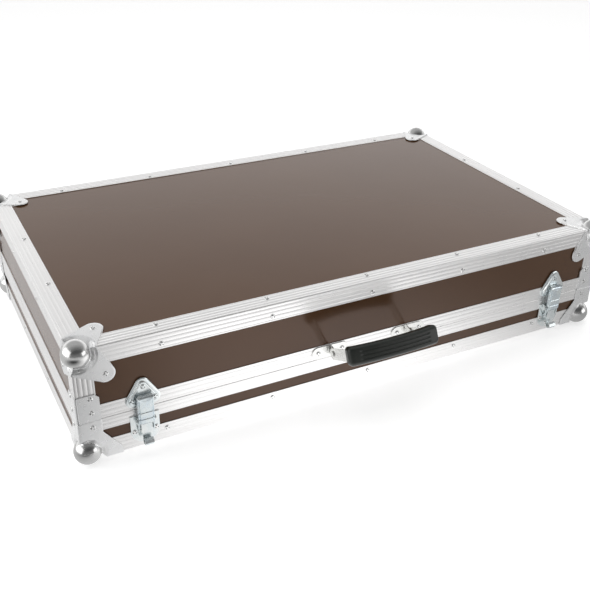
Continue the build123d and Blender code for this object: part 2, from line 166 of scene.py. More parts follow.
def loft(rings):
    """Closed shell through rings of equal count, capped at both ends."""
    count = len(rings[0])
    last = (len(rings) - 1) * count
    verts = [point for ring in rings for point in ring]
    faces = []
    for a in range(0, last, count):
        for i in range(count):
            j = (i + 1) % count
            faces.append((a + i, a + j, a + count + j, a + count + i))
    faces.append(tuple(range(count - 1, -1, -1)))
    faces.append(tuple(last + i for i in range(count)))
    return verts, faces


def hull_ring(circles, inset, height):
    """Ring round the hull of circles (x, y, r), inset by a distance, by direction of the outline's normal."""
    count = 96
    points = []
    for k in range(count):
        angle = 2 * math.pi * (k + 0.5) / count
        nx, ny = math.cos(angle), math.sin(angle)
        x, y, r = max(circles, key=lambda c: c[0] * nx + c[1] * ny + c[2])
        points.append((x + (r - inset) * nx, y + (r - inset) * ny, height))
    return points


# Places: each turns a local point into one of the shared frame

SIDES = {
    "front": Vector((0, -1, 0)),
    "back": Vector((0, 1, 0)),
    "left": Vector((-1, 0, 0)),
    "right": Vector((1, 0, 0)),
}
UP = Vector((0, 0, 1))


def half_run(side):
    """Half the length of a side."""
    return x_out if side in ("front", "back") else y_out


def on_side(side, along, height, out=0.0):
    """Place on a side's outer face: local x to the right seen from outside, y up, z outward."""
    normal = SIDES[side]
    reach = y_out if side in ("front", "back") else x_out
    right = UP.cross(normal)
    origin = normal * (reach + out) + right * along + UP * height
    return lambda p: origin + right * p[0] + UP * p[1] + normal * p[2]


def on_flat(x, y, top, out=0.0):
    """Place on the top or the underside, or off it by a distance, local z outward."""
    sign = 1 if top else -1
    origin = Vector((x, y, z_high if top else z_low))
    return lambda p: origin + Vector((p[0], sign * p[1], sign * (p[2] + out)))


# Materials. Noise scales are per metre; bump strengths come with a distance in metres


def principled(name, colour, metallic=0.0, roughness=0.5, ior=1.5):
    material = bpy.data.materials.new(name)
    material.use_nodes = True
    nodes, links = material.node_tree.nodes, material.node_tree.links
    shader = nodes["Principled BSDF"]
    shader.inputs["Base Color"].default_value = (*colour, 1.0)
    shader.inputs["Metallic"].default_value = metallic
    shader.inputs["Roughness"].default_value = roughness
    shader.inputs["IOR"].default_value = ior
    return material, nodes, links, shader


def noise(nodes, links, source, scale, detail=3.0, rough=0.5, stretch=None):
    """Noise value of a coordinate socket, scaled per metre and optionally stretched."""
    node = nodes.new("ShaderNodeTexNoise")
    node.inputs["Scale"].default_value = scale
    node.inputs["Detail"].default_value = detail
    node.inputs["Roughness"].default_value = rough
    if stretch:
        mapping = nodes.new("ShaderNodeMapping")
        mapping.inputs["Scale"].default_value = stretch
        links.new(source, mapping.inputs["Vector"])
        source = mapping.outputs["Vector"]
    links.new(source, node.inputs["Vector"])
    return node.outputs["Fac"]


def spread(nodes, links, value, low, high, from_low=0.3, from_high=0.7):
    """Maps a value's middle range to another range."""
    node = nodes.new("ShaderNodeMapRange")
    node.inputs["From Min"].default_value = from_low
    node.inputs["From Max"].default_value = from_high
    node.inputs["To Min"].default_value = low
    node.inputs["To Max"].default_value = high
    links.new(value, node.inputs["Value"])
    return node.outputs["Result"]


def blend_colour(nodes, links, shader, value, first, second):
    """Sets the base colour between two, by a value from 0 to 1."""
    node = nodes.new("ShaderNodeMix")
    node.data_type = "RGBA"
    links.new(value, node.inputs["Factor"])
    node.inputs["A"].default_value = (*first, 1.0)
    node.inputs["B"].default_value = (*second, 1.0)
    links.new(node.outputs["Result"], shader.inputs["Base Color"])


def combine(nodes, links, operation, first, second):
    """Output of a math node on a socket and another socket or a number."""
    node = nodes.new("ShaderNodeMath")
    node.operation = operation
    links.new(first, node.inputs[0])
    if isinstance(second, float):
        node.inputs[1].default_value = second
    else:
        links.new(second, node.inputs[1])
    return node.outputs[0]


def bump(nodes, links, shader, heights):
    """Chains bumps of (height socket, strength, distance in metres)."""
    previous = None
    for height, strength, distance in heights:
        node = nodes.new("ShaderNodeBump")
        node.inputs["Strength"].default_value = strength
        node.inputs["Distance"].default_value = distance
        links.new(height, node.inputs["Height"])
        if previous:
            links.new(previous, node.inputs["Normal"])
        previous = node.outputs["Normal"]
    links.new(previous, shader.inputs["Normal"])


def object_coords(nodes):
    return nodes.new("ShaderNodeTexCoord").outputs["Object"]


def film_material():
    """Dark brown resin film on plywood: glossy, with slight clouding and a faint ripple."""
    material, nodes, links, shader = principled("brown_film", (0.088, 0.044, 0.021), 0.0, 0.16, 1.5)
    shader.inputs["Specular Tint"].default_value = (1.0, 0.8, 0.73, 1.0)
    where = object_coords(nodes)
    cloud = noise(nodes, links, where, 3.5, 4.0)
    share = spread(nodes, links, cloud, 0.0, 1.0)
    blend_colour(nodes, links, shader, share, (0.082, 0.040, 0.019), (0.094, 0.047, 0.0225))
    smear = noise(nodes, links, where, 9.0, 5.0, 0.6)
    links.new(spread(nodes, links, smear, 0.13, 0.19), shader.inputs["Roughness"])
    ripple = noise(nodes, links, where, 260.0, 2.0)
    wave = noise(nodes, links, where, 14.0, 2.0)
    bump(nodes, links, shader, [(ripple, 0.12, 0.0002), (wave, 0.05, 0.002)])
    return material


def extrusion_material():
    """Satin drawn aluminium with fine die lines along each bar."""
    material, nodes, links, shader = principled("drawn_aluminium", (0.9, 0.89, 0.88), 0.75, 0.3)
    run = nodes.new("ShaderNodeUVMap")
    run.uv_map = "run"
    lines = noise(nodes, links, run.outputs["UV"], 1.0, 3.0, 0.6, (0.35, 1300.0, 1.0))
    broad = noise(nodes, links, run.outputs["UV"], 1.0, 2.0, 0.5, (0.15, 210.0, 1.0))
    cloud = noise(nodes, links, object_coords(nodes), 22.0, 4.0)
    share = spread(nodes, links, broad, 0.0, 1.0, 0.35, 0.65)
    blend_colour(nodes, links, shader, share, (0.87, 0.86, 0.855), (0.93, 0.925, 0.92))
    rough, patches = spread(nodes, links, lines, 0.22, 0.34), spread(nodes, links, cloud, 0.0, 0.08)
    links.new(combine(nodes, links, "ADD", rough, patches), shader.inputs["Roughness"])
    bump(nodes, links, shader, [(lines, 0.1, 0.00005), (broad, 0.05, 0.0001)])
    return material


def plated_material(name, first, second, rough, grain=45.0, dent=0.35, metallic=0.85):
    """Zinc-plated steel with cloudy colour, uneven gloss and shallow press marks."""
    material, nodes, links, shader = principled(name, first, metallic, rough)
    where = object_coords(nodes)
    cloud = noise(nodes, links, where, grain, 4.0, 0.6)
    blend_colour(nodes, links, shader, spread(nodes, links, cloud, 0.0, 1.0), first, second)
    patch = noise(nodes, links, where, grain * 3.0, 5.0, 0.65)
    links.new(spread(nodes, links, patch, rough * 0.75, rough * 1.35), shader.inputs["Roughness"])
    fine = noise(nodes, links, where, 900.0, 2.0)
    bump(nodes, links, shader, [(fine, 0.1, 0.00005), (cloud, dent, 0.0004)])
    return material


def grip_material():
    """Black moulded plastic with a fine grain and patches rubbed slightly shiny."""
    material, nodes, links, shader = principled("black_moulding", (0.018, 0.021, 0.018), 0.0, 0.4, 1.48)
    where = object_coords(nodes)
    cloud = noise(nodes, links, where, 30.0, 4.0)
    share = spread(nodes, links, cloud, 0.0, 1.0)
    blend_colour(nodes, links, shader, share, (0.014, 0.017, 0.015), (0.024, 0.027, 0.023))
    links.new(spread(nodes, links, cloud, 0.34, 0.48), shader.inputs["Roughness"])
    grain = noise(nodes, links, where, 1500.0, 3.0, 0.6)
    bump(nodes, links, shader, [(grain, 0.3, 0.0001)])
    return material


def foam_material():
    """Charcoal open-cell foam."""
    material, nodes, links, shader = principled("charcoal_foam", (0.045, 0.045, 0.048), 0.0, 0.95)
    where = object_coords(nodes)
    cells = nodes.new("ShaderNodeTexVoronoi")
    cells.inputs["Scale"].default_value = 900.0
    links.new(where, cells.inputs["Vector"])
    cloud = noise(nodes, links, where, 60.0, 5.0, 0.65)
    share = spread(nodes, links, cloud, 0.0, 1.0)
    blend_colour(nodes, links, shader, share, (0.03, 0.03, 0.033), (0.065, 0.065, 0.068))
    bump(nodes, links, shader, [(cells.outputs["Distance"], 0.8, 0.0006), (cloud, 0.5, 0.0012)])
    return material


def dark_material():
    """Painted shade: near-black steel at the bottom of a rivet's pits, standing in for the shadow in them."""
    material, nodes, links, shader = principled("painted_pit_shade", (0.03, 0.03, 0.033), 0.2, 0.7)
    where = object_coords(nodes)
    # the painted shade is mottled darker and lighter by a noise
    shade_mottle = noise(nodes, links, where, 700.0, 3.0)
    blend_colour(nodes, links, shader, shade_mottle, (0.012, 0.012, 0.013), (0.045, 0.045, 0.048))
    return material


film = film_material()
aluminium = extrusion_material()
corner_steel = plated_material("corner_plating", (0.84, 0.845, 0.85), (0.9, 0.9, 0.9), 0.3, 38.0, 0.2, 0.75)
ball_steel = plated_material("ball_plating", (0.6, 0.6, 0.595), (0.66, 0.66, 0.655), 0.2, 38.0, 0.1, 1.0)
latch_steel = plated_material("latch_plating", (0.72, 0.78, 0.80), (0.84, 0.86, 0.85), 0.2, 60.0, 0.3)
claw_steel = plated_material("claw_plating", (0.66, 0.74, 0.80), (0.82, 0.87, 0.86), 0.27, 75.0, 0.2)
bracket_steel = plated_material("bracket_plating", (0.70, 0.70, 0.69), (0.80, 0.80, 0.78), 0.24, 50.0, 0.25)
hinge_steel = plated_material("hinge_plating", (0.70, 0.71, 0.71), (0.82, 0.82, 0.81), 0.25, 50.0, 0.3)
rivet_steel = plated_material("rivet_plating", (0.80, 0.80, 0.80), (0.90, 0.90, 0.89), 0.2, 160.0, 0.3)
grip_black = grip_material()
foam_grey = foam_material()
painted_pit_shade = dark_material()


# Extrusions: sections in (inward, away) millimetres, swept along each edge

GROOVE = ((-0.9, 0.0), (-0.5, 0.16), (0.0, 0.22), (0.5, 0.16), (0.9, 0.0))


def groove_run(start, stop, count):
    """Points of a leg's outer face from start to stop with round-bottomed grooves."""
    points = []
    sign = 1 if stop > start else -1
    pitch = abs(stop - start) / count
    for index in range(count):
        middle = start + sign * pitch * (index + 0.5)
        points += [(middle + sign * across, depth) for across, depth in GROOVE]
    return points


def edge_section():
    """Two grooved legs with a rounded bead between them, and inside them a slot for each panel."""
    bead, soft, thin = 1.6, 0.3, 0.2
    tip = INNER + 8.0
    angles = [math.radians(k * 22.5) for k in range(5)]
    arc = [(bead * (1 - math.sin(a)), bead * (1 - math.cos(a))) for a in reversed(angles)]
    along = groove_run(bead, LEG, 4)
    down = [(depth, run) for run, depth in groove_run(LEG, bead, 4)]
    slots = [(LEG, soft), (LEG - thin, WALL), (INNER, WALL), (INNER, SLOT), (tip, SLOT), (tip, INNER)]
    slots += [(INNER, INNER), (INNER, tip), (SLOT, tip), (SLOT, INNER), (WALL, INNER), (WALL, LEG - thin)]
    return arc + along + slots + [(soft, LEG)] + down


def closure_section(leg, tongue):
    """One grooved leg, with a slot for the panel and a tongue or a groove along the split."""
    soft, thin, deep = 0.4, 0.2, 14.0
    middle = WALL + 3.5
    web = 2.4 if tongue else 5.2
    points = [(soft, 0.0), (0.0, soft)] + [(depth, run) for run, depth in groove_run(soft, leg, 3)]
    points += [(0.3, leg), (WALL, leg - thin), (WALL, web), (SLOT, web)]
    points += [(SLOT, deep), (INNER, deep), (INNER, 0.0)]
    foot, tip, reach = (1.6, 1.1, -3.0) if tongue else (2.6, 2.1, 3.6)
    return points + [(middle + foot, 0), (middle + tip, reach), (middle - tip, reach), (middle - foot, 0)]


def section_uv(section):
    """Distance of each point round a section."""
    run = [0.0]
    for (ax, ay), (bx, by) in zip(section, section[1:]):
        run.append(run[-1] + math.hypot(bx - ax, by - ay))
    return run


def rail(build, section, side, height, away, short=None):
    """Bar along one side, mitred or cut off short; away is +1 where the section's second distance runs up."""
    place = on_side(side, 0, height)
    half = half_run(side)
    rings, uvs = [], []
    for sign in (-1, 1):
        rings.append([(sign * (half - (short or a)), away * b, -a) for a, b in section])
        uvs += [(sign * (half - a) * MM, d * MM) for (a, b), d in zip(section, section_uv(section))]
    build.add(*loft(rings), place, uvs=uvs)


def post(build, section, sx, sy, low, high):
    """Upright bar at one corner; its run is shifted so that no two posts show the same die lines."""
    shift = sx * 0.3 + sy * 0.1
    corner = Vector((sx * x_out, sy * y_out, 0))
    rings, uvs = [], []
    for z in (low, high):
        rings.append([corner + Vector((-sx * a, -sy * b, z)) for a, b in section])
        uvs += [(z * MM + shift, d * MM) for d in section_uv(section)]
    build.add(*loft(rings), uvs=uvs)


def extrusions():
    crease = 50
    edge = edge_section()
    closures = {"base": closure_section(base_leg, False), "lid": closure_section(lid_leg, True)}
    for body, flat, away, line in (("base", z_low, 1, z_base_top), ("lid", z_high, -1, z_lid_low)):
        for side in SIDES:
            bar, channel = Build(), Build()
            rail(bar, edge, side, flat, away, RAIL_END)
            obj = bar.make(f"{body}_bar_{side}", [aluminium], body, crease, True)
            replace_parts(obj, f"{body}_edge_{side}")
            rail(channel, closures[body], side, line, -away)
            obj = channel.make(f"{body}_channel_{side}", [aluminium], body, crease, True)
            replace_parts(obj, f"{body}_closure_{side}")
        posts = Build()
        low, high = node_box(f"{body}_corner_posts")
        for sx in (-1, 1):
            for sy in (-1, 1):
                post(posts, edge, sx, sy, max(low.z, z_low + RAIL_END), min(high.z, z_high - RAIL_END))
        obj = posts.make(f"{body}_posts", [aluminium], body, crease, True)
        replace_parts(obj, f"{body}_corner_posts")


# Ball corners: one pressed sheet, as a field over distances outward from the ball's centre

# The sheet's rolled edge: share of the thickness crossed, and push outward
EDGE_ROLL = ((0.1, 0.35), (0.35, 0.6), (0.9, 0.6))


def eased(value):
    """Smooth step from 0 to 1."""
    value = max(0.0, min(1.0, value))
    return value * value * (3 - 2 * value)


def sheet_field(point):
    """Below zero inside the pressed corner: the ball, joined to flats that dip in a collar round it."""
    far = math.sqrt(sum(c * c for c in point)) + 1e-9
    flat = sum(max(0.0, c) ** FOLD for c in point) ** (1 / FOLD)
    along_edge = eased((sorted(point)[1] / far + 0.5) / 0.4)
    dip = DIP_PANEL + (DIP_EDGE - DIP_PANEL) * along_edge
    share = max(0.0, min(1.0, (far - BALL_R) / (RIM_R - BALL_R)))
    rise = 0.5 * share + 0.5 * eased(share)
    ball = far - BALL_R
    flats = flat - dip - (BALL_IN + SHEET - dip) * rise
    h = max(0.0, min(1.0, 0.5 + 0.5 * (flats - ball) / FILLET))
    return flats + (ball - flats) * h - FILLET * h * (1 - h)


def outermost(start, step):
    """Farthest distance along a direction at which the field crosses zero."""
    far, stride, halvings = 26.0, 0.7, 13
    top = far
    while top > 0 and sheet_field(start + step * top) > 0:
        top -= stride
    low, high = top, top + stride
    for _ in range(halvings):
        middle = (low + high) / 2
        if sheet_field(start + step * middle) > 0:
            high = middle
        else:
            low = middle
    return low


def field_normal(point):
    """Outward direction of the sheet, from the field a little to each side."""
    d = 0.05
    steps = (Vector((d, 0, 0)), Vector((0, d, 0)), Vector((0, 0, d)))
    return Vector([sheet_field(point + s) - sheet_field(point - s) for s in steps]).normalized()


def fold_points(end):
    """Seam between two faces as (outward, along), from the ball's outer point to a place along the edge."""
    start = -outermost(Vector((0, 0, 0)), Vector((1, 1, 1)))
    count = round(end - start)
    points = []
    for k in range(count + 1):
        along = start + (end - start) * k / count
        points.append((outermost(Vector((0, -along, 0)), Vector((1, 0, 1))), along))
    return points


def inside(point, loop, margin):
    """Whether a point lies inside a closed loop and clear of its line."""
    x, y = point
    odd = False
    for (ax, ay), (bx, by) in zip(loop, loop[1:] + loop[:1]):
        length = (bx - ax) ** 2 + (by - ay) ** 2 + 1e-12
        t = max(0.0, min(1.0, ((x - ax) * (bx - ax) + (y - ay) * (by - ay)) / length))
        if math.hypot(x - ax - t * (bx - ax), y - ay - t * (by - ay)) < margin:
            return False
        if (ay > y) != (by > y) and x < ax + (y - ay) * (bx - ax) / (by - ay):
            odd = not odd
    return odd


def inner_points(loop, reach):
    """Points to fill a face with, on circles round the ball that are closest where the sheet bends most."""
    collar_from, clear = 14.0, 0.35
    points, radius = [(0.0, 0.0)], 0.0
    while radius < reach:
        if radius < collar_from:
            radius += 1.6
        else:
            radius += 0.8 if radius < RIM_R else 2.8
        around = max(12, round(2 * math.pi * radius / (1.5 if radius < RIM_R else 3.2)))
        for k in range(around):
            a = 2 * math.pi * (k + 0.5) / around
            points.append((radius * math.cos(a), radius * math.sin(a)))
    return [p for p in points if inside(p, loop, clear)]


def rim_direction(verts, rim, k):
    """Direction out of the sheet at one point of its free edge; at both ends it runs along the fold."""
    if k == 0:
        return Vector((-1, 0, 0))
    if k == len(rim) - 1:
        return Vector((0, -1, 0))
    run = verts[rim[k + 1]] - verts[rim[k - 1]]
    return Vector((run.y, -run.x, 0)).normalized()


def face_sheet(free, low_end, high_end, reach):
    """Pressed sheet over one face of a corner: outside, inside and rolled free edge, as outward distances."""
    bottom = [(along, -out) for out, along in fold_points(low_end)]
    left = [(-out, along) for out, along in fold_points(high_end)]
    loop = bottom + free + left[:0:-1]
    flat = [Vector(p) for p in loop + inner_points(loop, reach)]
    found, _, faces, origin, _, _ = delaunay_2d_cdt(flat, [], [list(range(len(loop)))], 1, 1e-6)
    outer = []
    for (p, q), sources in zip(found, origin):
        source = min(sources) if sources else len(loop)
        if source < len(bottom):
            height = -bottom[source][1]
        elif len(bottom) + len(free) <= source < len(loop):
            height = -left[len(loop) - source][0]
        else:
            height = outermost(Vector((-p, -q, 0)), Vector((0, 0, 1)))
        outer.append(Vector((-p, -q, height)))
    count = len(outer)
    verts = outer + [point - field_normal(point) * THICK for point in outer]
    triangles = [tuple(face) for face in faces]
    triangles += [tuple(count + i for i in reversed(face)) for face in faces]
    at = {min(sources): i for i, sources in enumerate(origin) if sources}
    rim = [at[i] for i in range(len(bottom) - 1, len(bottom) + len(free) + 1)]
    rows = [rim]
    for share, push in EDGE_ROLL:
        rows.append([])
        for k, i in enumerate(rim):
            rows[-1].append(len(verts))
            verts.append(verts[i].lerp(verts[count + i], share) + rim_direction(verts, rim, k) * push)
    rows.append([count + i for i in rim])
    for a, b in zip(rows, rows[1:]):
        for k in range(len(rim) - 1):
            triangles.append((a[k], b[k], b[k + 1], a[k + 1]))
    on_ball = BALL_R + 0.25
    finish = [int(all(verts[i].length < on_ball for i in face)) for face in triangles]
    return verts, triangles, finish


def arc_points(centre, radius, start, stop, count):
    """Points of an arc between two angles in degrees, about a centre on the diagonal."""
    angles = [math.radians(start + (stop - start) * k / count) for k in range(count + 1)]
    return [(centre + radius * math.cos(a), centre + radius * math.sin(a)) for a in angles]


def lobe_edge():
    """Free edge of a lobed face, from the ball's centre: round the rim, the lobe and the rim again."""
    lobe = LOBE_AT - BALL_IN
    turn = math.degrees(math.acos((RIM_R - LOBE_R) / math.hypot(lobe, lobe)))
    start = math.degrees(math.asin(-(BALL_IN + SHEET) / RIM_R))
    points = arc_points(0, RIM_R, start, 45 - turn, 14)
    points += arc_points(lobe, LOBE_R, 45 - turn, 45 + turn, 24)
    points += arc_points(0, RIM_R, 45 + turn, 90 - start, 14)
    return points[1:-1]


def leg_edge(top):
    """Free edge of a leg, from the ball's centre: along the foot, up the slope and along the split."""
    below, long, narrow, pitch = -0.2, 61.5, 34.0, 4.0
    corners = [(RIM_END + BALL_IN + 1.5, below), (long - 1.0, below), (long, below + 1.0), (60, 12), (47, 29)]
    corners += [(narrow, 46.6), (narrow, top - 1.2), (narrow - 1.2, top), (0, top)]
    points = []
    for (ax, ay), (bx, by) in zip(corners, corners[1:]):
        steps = max(1, round(math.hypot(bx - ax, by - ay) / pitch))
        points += [(ax + (bx - ax) * k / steps, ay + (by - ay) * k / steps) for k in range(steps)]
    return [(p - BALL_IN, q - BALL_IN) for p, q in points + [corners[-1]]]


def ball_corners(body, height, upside_down, legs):
    """Four corners of one body: a lobed face on the flat, and on both walls either the same or a leg."""
    build = Build()
    lobe = face_sheet(lobe_edge(), RIM_END, RIM_END, 60.0)
    top = z_base_top - z_low - 0.2
    wall = face_sheet(leg_edge(top), RIM_END, top - BALL_IN, 85.0) if legs else lobe
    sign = -1 if upside_down else 1
    for sx in (-1, 1):
        for sy in (-1, 1):
            for (verts, faces, finish), order in ((lobe, (0, 1, 2)), (wall, (0, 2, 1)), (wall, (2, 0, 1))):
                points = []
                for v in verts:
                    a, b, c = (BALL_IN - v[i] for i in order)
                    points.append(Vector((sx * (x_out - a), sy * (y_out - b), height + sign * c)))
                build.add(points, faces, None, finish)
    obj = build.make(f"{body}_pressed_corners", [corner_steel, ball_steel], body, 40)
    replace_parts(obj, f"{body}_ball_corners")


# Rivets


def rivet():
    """Low domed head with three staked pits round its middle, their bottoms in the second material, a painted
    shade.
    """
    rings, around = 15, 36
    pit_at, pit_r, pit_deep, dark_r, least = 2.55, 1.1, 0.85, 0.9, 0.05
    angles = [math.radians(90 + 120 * k) for k in range(3)]
    pits = [(pit_at * math.cos(a), pit_at * math.sin(a)) for a in angles]

    def top(x, y):
        height = RIVET_H * math.sqrt(max(0.0, 1 - (math.hypot(x, y) / RIVET_R) ** 3.2))
        for px, py in pits:
            d = math.hypot(x - px, y - py) / pit_r
            if d < 1:
                height -= pit_deep * (1 - d * d) ** 1.2
        return max(height, least)

    verts, faces, material = [(0, 0, top(0, 0))], [], []
    for k in range(1, rings + 1):
        r = RIVET_R * math.sin(math.pi / 2 * k / rings)
        for i in range(around):
            a = 2 * math.pi * i / around
            x, y = r * math.cos(a), r * math.sin(a)
            verts.append((x, y, top(x, y) if k < rings else 0.0))
    for i in range(around):
        faces.append((0, 1 + i, 1 + (i + 1) % around))
    for k in range(rings - 1):
        a, b = 1 + k * around, 1 + (k + 1) * around
        for i in range(around):
            j = (i + 1) % around
            faces.append((a + i, b + i, b + j, a + j))
    faces.append(tuple(1 + (rings - 1) * around + i for i in range(around))[::-1])
    for face in faces:
        x = sum(verts[i][0] for i in face) / len(face)
        y = sum(verts[i][1] for i in face) / len(face)
        # faces inside a pit take the painted shade
        in_pit = min(math.hypot(x - px, y - py) for px, py in pits) < dark_r
        material.append(1 if in_pit and len(face) < 5 else 0)
    return verts, faces, material


RIVET = rivet()


def rivet_at(build, place, turned):
    """Adds one rivet, turned about its own axis."""
    verts, faces, material = RIVET
    c, s = math.cos(turned), math.sin(turned)
    build.add([place((c * x - s * y, s * x + c * y, z)) for x, y, z in verts], faces, None, material)


def rivet_sets():
    """Rivets of the bars and of the pressed corners, each turned by a step more than the one before."""
    step, turn = 2.4, 0.0
    pitch, inset = 178.0, 21.0
    leg_spots = [(20.0, z_low + 59.0)]
    lid_spots = [(LOBE_AT, z_high - LOBE_AT), (inset, z_split + 14.7), (inset, z_split + 39.0)]
    for body, top in (("base", False), ("lid", True)):
        bars, corners = Build(), Build()
        rise = z_high - inset if top else z_low + inset
        for side in SIDES:
            for share in (-2, -1, 0, 1, 2) if side in ("front", "back") else (-0.5, 0.5):
                turn += step
                along = pitch * share
                rivet_at(bars, on_side(side, along, rise), turn)
                x, y, _ = on_side(side, along, 0, -inset)((0, 0, 0))
                rivet_at(bars, on_flat(x, y, top), turn + 1.0)
        for sx in (-1, 1):
            for sy in (-1, 1):
                turn += step
                rivet_at(corners, on_flat(sx * (x_out - LOBE_AT), sy * (y_out - LOBE_AT), top, SHEET), turn)
        for side in SIDES:
            for end in (-1, 1):
                for from_end, height in lid_spots if top else leg_spots:
                    turn += step
                    along = end * (half_run(side) - from_end)
                    rivet_at(corners, on_side(side, along, height, SHEET), turn)
        for build, name, slot in ((bars, "bar", "extrusion"), (corners, "corner", "corner_steel")):
            build.make(f"{body}_{name}_rivets", [rivet_steel, painted_pit_shade], body, 40)


def fitting_rivets():
    """Rivets of the latch plates, the handle's brackets and the hinge leaves."""
    plate, leaf = 1.5, 1.8
    plates, brackets = Build(), Build()
    for x in (-LATCH_X, LATCH_X):
        for across, height in ((-17, 30), (17, 30), (0, 15)):
            rivet_at(plates, on_side("front", x + across, z_low + height, plate), across)
    for x in (-HANDLE_X, HANDLE_X):
        for across in (-22, 22):
            rivet_at(brackets, on_side("front", x + across, z_low + HANDLE_H, plate), across)
    plates.make("latch_plate_rivets", [rivet_steel, painted_pit_shade], "base", 40)
    brackets.make("bracket_rivets", [rivet_steel, painted_pit_shade], "lid", 40)
    for body, height in (("base", z_split - 13.0), ("lid", z_split + 14.5)):
        leaves = Build()
        for x in (-HINGE_X, HINGE_X):
            for across in (-20, 20):
                rivet_at(leaves, on_side("back", x + across, height, leaf), across)
        leaves.make(f"{body}_hinge_rivets", [rivet_steel, painted_pit_shade], body, 40)


# Angle plates on the lid's upright corners


def brace_columns(width, radius):
    """Stations round an angle plate, as inward distances from two faces: outer pair, inner pair."""
    half = [(p, -SHEET, p, 0.0) for p in (width, width - 0.4, 31.0, 28.0, 20.0, 10.0, 4.0, radius)]
    for k in range(1, 5):
        a = math.radians(22.5 * k)
        grow = radius + SHEET
        inner = [0.2 * radius * (1 - turn(a)) for turn in (math.sin, math.cos)]
        half.append((radius - grow * math.sin(a), radius - grow * math.cos(a), *inner))
    return half + [(q, p, s, r) for p, q, r, s in reversed(half[:-1])]


def braces():
    """Four angle plates standing on the split, their upper corners cut off at 45 degrees."""
    width, top, cut, radius, half_gap, soft = 34.0, 45.0, 6.0, 2.2, 0.2, 0.4
    rings = []
    for p, q, r, s in brace_columns(width, radius):
        high = top - max(0.0, max(p, q) - (width - cut))
        outer = [(p, q, half_gap), (p, q, high - soft), (p * 0.999, q, high)]
        rings.append(outer + [(r, s, high), (r, s, half_gap)])
    verts, faces = loft(rings)
    build = Build()
    for sx in (-1, 1):
        for sy in (-1, 1):
            place = lambda v, sx=sx, sy=sy: Vector((sx * (x_out - v[0]), sy * (y_out - v[1]), z_split + v[2]))
            build.add(verts, faces, place)
    obj = build.make("lid_angle_plates", [corner_steel], "lid", 40)
    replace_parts(obj, "lid_corner_braces")


# Keepers on the lid


def keepers():
    """Three-cornered plates with a stepped skirt and a dished top; circles as x, height, radius."""
    circles = [(0, 112, 11), (-15, 86, 12), (15, 86, 12)]
    skirt = [(0, 0), (0, 1.1), (0.4, 1.5), (3.3, 2.3), (3.9, 2.1), (4.5, 2.2)]
    dish = [(5.0, 3.9), (5.4, 4.7), (6.0, 5.0), (7.0, 5.0), (7.6, 4.75)]
    rivets = [(0, 110), (-17.5, 88), (17.5, 88)]
    seat = 4.6
    verts, faces = loft([hull_ring(circles, inset, height) for inset, height in skirt + dish])
    build = Build()
    for x in (-LATCH_X, LATCH_X):
        build.add(verts, faces, on_side("front", x, z_low))
        for across, height in rivets:
            rivet_at(build, on_side("front", x + across, z_low + height, seat), across)
    obj = build.make("lid_keepers", [latch_steel, painted_pit_shade], "lid", 35)
    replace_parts(obj, "latch_keepers")


# Claws that draw the lid down: distances out from the case's front and heights over its underside

CLAW_HALF = 12.5
CLAW_FACE = 14.0
CLAW_FOOT = 50.0
CLAW_BEND_AT = 92.6
CLAW_BEND = 5.0
CLAW_LIP = 5.3
LIP_BEND = 1.5


def claw_half(out):
    """Half width of a claw by its distance out from the case, narrowing toward the lip."""
    tip_half, taper, bulge = 6.1, 6.2, 1.2
    t = min(1.0, max(0.0, (out - CLAW_LIP) / taper))
    return min(CLAW_HALF, tip_half + (CLAW_HALF - tip_half) * t + bulge * math.sin(math.pi * t))


def claw_profile():
    """Outer line of a claw from foot to lip, as (distance out, height, normal, distance along)."""
    rise = CLAW_BEND_AT - CLAW_FOOT
    points = [(CLAW_FACE, CLAW_FOOT + rise * k / 44, (1.0, 0.0)) for k in range(45)]
    for k in range(1, 9):
        a = math.pi / 2 * k / 8
        out, height = CLAW_FACE - CLAW_BEND + CLAW_BEND * math.cos(a), CLAW_BEND_AT + CLAW_BEND * math.sin(a)
        points.append((out, height, (math.cos(a), math.sin(a))))
    top = CLAW_BEND_AT + CLAW_BEND
    points += [(8.3, top, (0.0, 1.0)), (7.5, top, (0.0, 1.0))]
    for k in range(1, 4):
        a = math.pi / 2 * k / 3
        out, height = CLAW_LIP + LIP_BEND * (1 - math.sin(a)), top - LIP_BEND * (1 - math.cos(a))
        points.append((out, height, (-math.sin(a), math.cos(a))))
    points += [(CLAW_LIP, 95.2, (-1.0, 0.0)), (CLAW_LIP, 94.1, (-1.0, 0.0))]
    total, rows = 0.0, []
    for k, (out, height, normal) in enumerate(points):
        if k:
            total += math.hypot(out - points[k - 1][0], height - points[k - 1][1])
        rows.append((out, height, normal, total))
    return rows


def claw_sink(x, height, along):
    """Depth pressed into a claw's face: an oval dish, two seams across and a step along each edge."""
    dish_half, dish_reach, dish_at = 11.6, 7.5, 46.5
    seams, seam_half = (70.0, 58.5), 0.8
    step_from, step_to, step_top = 9.5, 10.9, 91.0
    oval = 1 - (x / dish_half) ** 2 - ((along - dish_at) / dish_reach) ** 2
    sink = 1.1 * max(0.0, oval) ** 0.6
    if min(abs(height - seam) for seam in seams) < seam_half:
        sink += 0.7
    if abs(x) > step_from and height < step_top:
        sink += 1.6 if abs(x) < step_to else 0.9
    return sink


def claw_plate():
    """Face, bend and lip of a claw as a closed shell; points are (across, out, height)."""
    half_columns = [0.0, 1.5, 3.0, 4.5, 6.0, 7.2, 8.2, 8.9, 9.2, 9.7, 10.6, 11.1, 11.4, 12.1, CLAW_HALF]
    sheet, soft_from = 1.4, 12.0
    rows = claw_profile()
    rings = []
    for x in [-x for x in reversed(half_columns[1:])] + half_columns:
        outer, inner = [], []
        for out, height, (nx, ny), along in rows:
            sink = claw_sink(x, height, along)
            edge = max(0.0, abs(x) - soft_from)
            wide = x * claw_half(out) / CLAW_HALF
            outer.append((wide, out - nx * (sink + edge), height - ny * (sink + edge)))
            inner.append((wide, out - nx * (sink + sheet), height - ny * (sink + sheet)))
        rings.append(outer + inner[::-1])
    return loft(rings)


